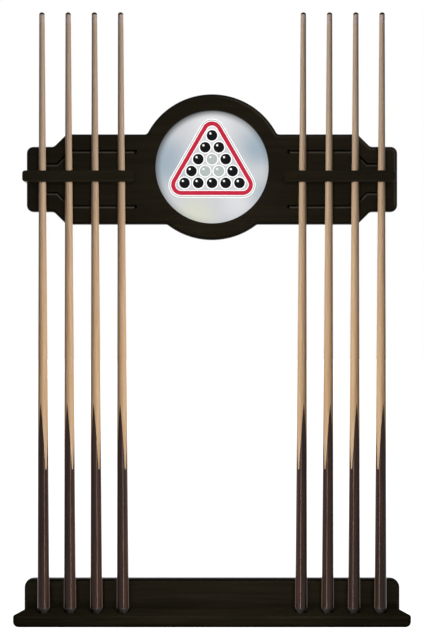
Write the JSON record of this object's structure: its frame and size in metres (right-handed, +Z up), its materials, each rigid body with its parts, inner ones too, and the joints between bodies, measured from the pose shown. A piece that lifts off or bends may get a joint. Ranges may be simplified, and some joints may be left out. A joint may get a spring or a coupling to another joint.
{
  "type": "wall cue rack",
  "caption": "Wall rack for billiard cues: a shaped black board with a round mirror and drilled rails above a nosed shelf, with spliced cues standing in it.",
  "frame": {"origin": "on the wall plane, at mid width, level with the top of the shelf", "axes": "+Z up, +Y into the wall, +X to the right as seen from the room; the front faces -Y"},
  "size_m": [0.948, 0.095, 1.4759],
  "materials": {
    "black_board": "satin black-brown stain on fibreboard and hardwood",
    "mirror_glass": "silvered glass with a printed emblem",
    "hardboard": "pressed hardboard",
    "bright_steel": "bright rolled steel",
    "zinc_plate": "zinc-plated pressed steel",
    "yellow_zinc_screw": "yellow zinc-plated steel",
    "tip_leather": "pressed leather",
    "ferrule_resin": "ivory resin",
    "maple": "clear-varnished maple",
    "dark_hardwood": "gloss-varnished dark hardwood",
    "bumper_rubber": "moulded rubber"
  },
  "bodies": {
    "rack": {"top_board": "black_board", "mirror": "mirror_glass", "mirror_backing": "hardboard", "glazing_points": "bright_steel", "left_rail": "black_board", "right_rail": "black_board", "rail_screws": "yellow_zinc_screw", "base_board": "black_board", "shelf": "black_board", "shelf_screws": "yellow_zinc_screw", "top_left_hanger": "zinc_plate", "top_right_hanger": "zinc_plate", "base_left_hanger": "zinc_plate", "base_right_hanger": "zinc_plate", "hanger_screws": "yellow_zinc_screw"},
    "cue_1": {"cue_1_tip": "tip_leather", "cue_1_ferrule": "ferrule_resin", "cue_1_shaft": "maple", "cue_1_butt": "dark_hardwood", "cue_1_bumper": "bumper_rubber"},
    "cue_2": {"cue_2_tip": "tip_leather", "cue_2_ferrule": "ferrule_resin", "cue_2_shaft": "maple", "cue_2_butt": "dark_hardwood", "cue_2_bumper": "bumper_rubber"},
    "cue_3": {"cue_3_tip": "tip_leather", "cue_3_ferrule": "ferrule_resin", "cue_3_shaft": "maple", "cue_3_butt": "dark_hardwood", "cue_3_bumper": "bumper_rubber"},
    "cue_4": {"cue_4_tip": "tip_leather", "cue_4_ferrule": "ferrule_resin", "cue_4_shaft": "maple", "cue_4_butt": "dark_hardwood", "cue_4_bumper": "bumper_rubber"},
    "cue_5": {"cue_5_tip": "tip_leather", "cue_5_ferrule": "ferrule_resin", "cue_5_shaft": "maple", "cue_5_butt": "dark_hardwood", "cue_5_bumper": "bumper_rubber"},
    "cue_6": {"cue_6_tip": "tip_leather", "cue_6_ferrule": "ferrule_resin", "cue_6_shaft": "maple", "cue_6_butt": "dark_hardwood", "cue_6_bumper": "bumper_rubber"},
    "cue_7": {"cue_7_tip": "tip_leather", "cue_7_ferrule": "ferrule_resin", "cue_7_shaft": "maple", "cue_7_butt": "dark_hardwood", "cue_7_bumper": "bumper_rubber"},
    "cue_8": {"cue_8_tip": "tip_leather", "cue_8_ferrule": "ferrule_resin", "cue_8_shaft": "maple", "cue_8_butt": "dark_hardwood", "cue_8_bumper": "bumper_rubber"}
  },
  "joints": [
    {"name": "cue_1_lift", "type": "slide", "parent": "rack", "child": "cue_1", "axis": [-0.005, 0.0167, 0.9998], "range_m": [0, 0.45]},
    {"name": "cue_2_lift", "type": "slide", "parent": "rack", "child": "cue_2", "axis": [-0.005, 0.0167, 0.9998], "range_m": [0, 0.45]},
    {"name": "cue_3_lift", "type": "slide", "parent": "rack", "child": "cue_3", "axis": [-0.005, 0.0167, 0.9998], "range_m": [0, 0.45]},
    {"name": "cue_4_lift", "type": "slide", "parent": "rack", "child": "cue_4", "axis": [-0.005, 0.0167, 0.9998], "range_m": [0, 0.45]},
    {"name": "cue_5_lift", "type": "slide", "parent": "rack", "child": "cue_5", "axis": [0.005, 0.0167, 0.9998], "range_m": [0, 0.45]},
    {"name": "cue_6_lift", "type": "slide", "parent": "rack", "child": "cue_6", "axis": [0.005, 0.0167, 0.9998], "range_m": [0, 0.45]},
    {"name": "cue_7_lift", "type": "slide", "parent": "rack", "child": "cue_7", "axis": [0.005, 0.0167, 0.9998], "range_m": [0, 0.45]},
    {"name": "cue_8_lift", "type": "slide", "parent": "rack", "child": "cue_8", "axis": [0.005, 0.0167, 0.9998], "range_m": [0, 0.45]}
  ]
}
